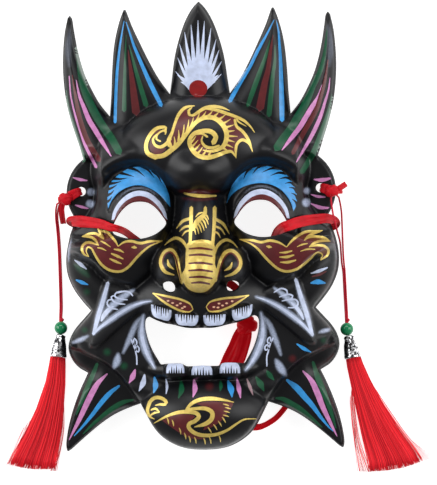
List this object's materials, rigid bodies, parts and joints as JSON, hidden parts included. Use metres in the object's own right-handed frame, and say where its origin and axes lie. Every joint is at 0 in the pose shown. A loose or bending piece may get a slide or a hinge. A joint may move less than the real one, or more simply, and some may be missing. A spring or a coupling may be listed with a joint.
{
  "type": "opera mask",
  "caption": "Full-face horned demon opera mask as a thin hollow shell with eye, nostril and mouth openings, red ribbon ties through its ears and a hanging tassel on each side.",
  "frame": {"origin": "on the plane that the mask lies on, under the middle of the shell's bounding box", "axes": "+Y from the chin to the horns, +Z out of the face, +X to the right as a viewer sees the face"},
  "size_m": [0.2667, 0.3046, 0.0757],
  "materials": {
    "shell": "semi-gloss, painted in colour",
    "satin": "satin",
    "thread": "silky thread",
    "bead": "polished",
    "cap": "cast, with dark recesses"
  },
  "bodies": {
    "root": {"mask_shell": "shell", "ear_tie_left": "satin", "ear_tie_right": "satin", "ribbon_left": "satin", "ribbon_right": "satin", "ribbon_tail_left": "satin", "ribbon_tail_right": "satin", "ribbon_knot": "satin", "tassel_cord_left_a": "thread", "tassel_cord_left_b": "thread", "tassel_cord_right_a": "thread", "tassel_cord_right_b": "thread", "bead_left": "bead", "bead_right": "bead", "tassel_cap_left": "cap", "tassel_cap_right": "cap", "tassel_skirt_left": "thread", "tassel_skirt_right": "thread"}
  },
  "joints": []
}
